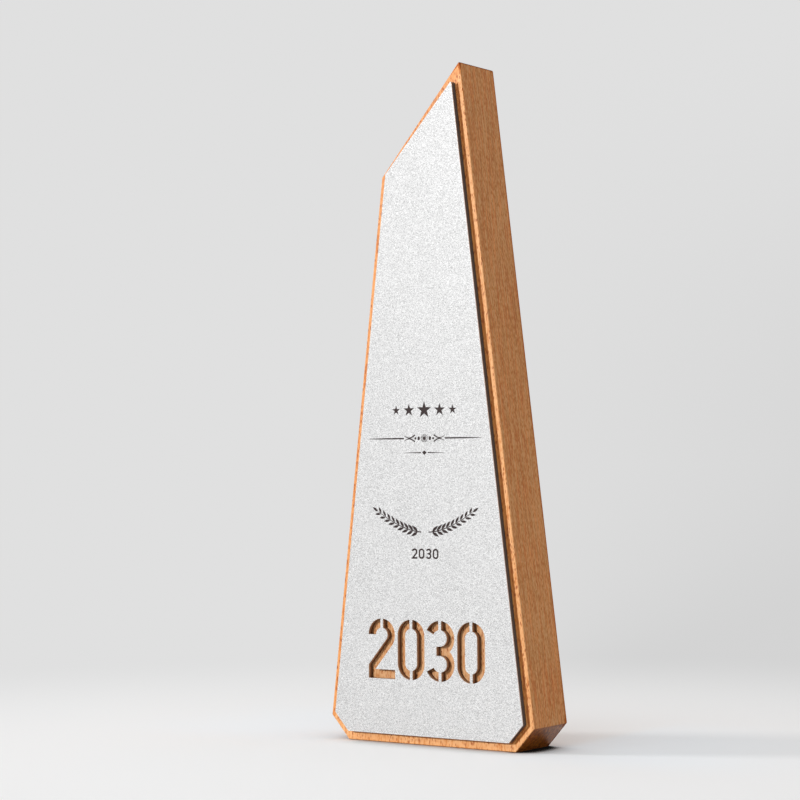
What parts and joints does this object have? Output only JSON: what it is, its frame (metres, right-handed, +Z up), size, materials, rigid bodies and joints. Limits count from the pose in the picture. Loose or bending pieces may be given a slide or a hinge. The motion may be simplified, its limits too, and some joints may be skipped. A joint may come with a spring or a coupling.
{
  "type": "wooden plaque",
  "caption": "Free-standing tapered wooden award block with a slanted crown and cut foot corners, faced with a thin silver panel through which stencil numerals are cut down to the wood.",
  "frame": {"origin": "the middle of the block's foot, on the surface that it stands on, midway between the block's front and back faces", "axes": "+Z up the block, +X to the right as seen from the front, +Y to the back; the silver panel faces -Y"},
  "size_m": [0.1, 0.0287, 0.2793],
  "materials": {
    "beech": "satin clear lacquer",
    "adhesive": "matte",
    "core_board": "dark, routed edge",
    "silver": "fine sandblast"
  },
  "bodies": {
    "root": {"wood_block": "beech", "adhesive_sheet": "adhesive", "panel_core": "core_board", "silver_skin": "silver"}
  },
  "joints": []
}
